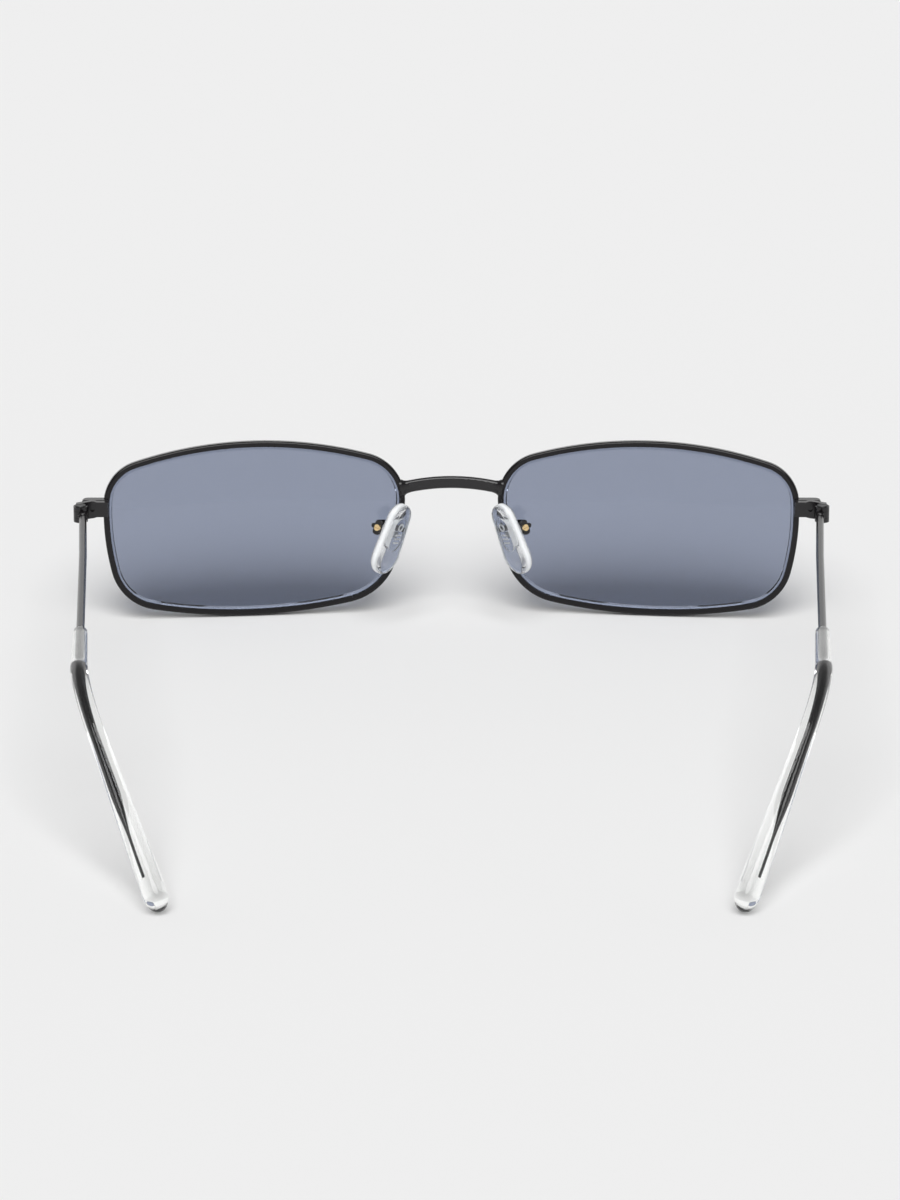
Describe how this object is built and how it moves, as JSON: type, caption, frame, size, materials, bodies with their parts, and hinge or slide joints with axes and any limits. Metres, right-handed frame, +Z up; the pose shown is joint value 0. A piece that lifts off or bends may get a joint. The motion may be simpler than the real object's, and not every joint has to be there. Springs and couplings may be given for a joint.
{
  "type": "narrow rectangle sunglasses",
  "caption": "Narrow rectangle sunglasses: black wire rims, smoke lenses, clear nose pads on bent arms, folding wire temples with clear tips.",
  "frame": {"origin": "on the table, under the middle of the whole part as it stands open on its rims and tips", "axes": "+Z up, +Y back along the temples, +X to the wearer's left"},
  "size_m": [0.1374, 0.1387, 0.0317],
  "materials": {
    "frame": "satin black lacquer",
    "lens": "polished smoke grey",
    "pad": "clear silicone",
    "pad_core": "clear moulded",
    "tip": "clear moulded",
    "screw": "blackened steel",
    "pad_screw": "turned"
  },
  "bodies": {
    "front": {"bridge": "frame", "rim_left": "frame", "rim_right": "frame", "end_piece_left": "frame", "end_piece_right": "frame", "closing_block_left": "frame", "closing_block_right": "frame", "closing_screw_left": "screw", "closing_screw_right": "screw", "front_hinge_left": "frame", "front_hinge_right": "frame", "hinge_screw_left": "screw", "hinge_screw_right": "screw", "pad_arm_left": "frame", "pad_arm_right": "frame", "pad_box_left": "frame", "pad_box_right": "frame", "pad_screw_left": "pad_screw", "pad_screw_right": "pad_screw", "lens_left": "lens", "lens_right": "lens"},
    "left_temple": {"temple_hinge_left": "frame", "temple_wire_left": "frame", "temple_tip_left": "tip"},
    "left_pad": {"pad_core_left": "pad_core", "nose_pad_left": "pad"},
    "right_temple": {"temple_hinge_right": "frame", "temple_wire_right": "frame", "temple_tip_right": "tip"},
    "right_pad": {"pad_core_right": "pad_core", "nose_pad_right": "pad"}
  },
  "joints": [
    {"name": "left_temple_fold", "type": "hinge", "parent": "front", "child": "left_temple", "pos_m": [0.06737, -0.05835, 0.02108], "axis": [0, -0.0698, 0.9976], "range_deg": [0, 79]},
    {"name": "left_pad_rock", "type": "hinge", "parent": "front", "child": "left_pad", "pos_m": [0.01278, -0.05831, 0.01835], "axis": [-0.5192, -0.7995, -0.3019], "range_deg": [-10, 10]},
    {"name": "right_temple_fold", "type": "hinge", "parent": "front", "child": "right_temple", "pos_m": [-0.06737, -0.05835, 0.02108], "axis": [0, 0.0698, -0.9976], "range_deg": [0, 62]},
    {"name": "right_pad_rock", "type": "hinge", "parent": "front", "child": "right_pad", "pos_m": [-0.01278, -0.05831, 0.01835], "axis": [-0.5192, 0.7995, 0.3019], "range_deg": [-10, 10]}
  ]
}
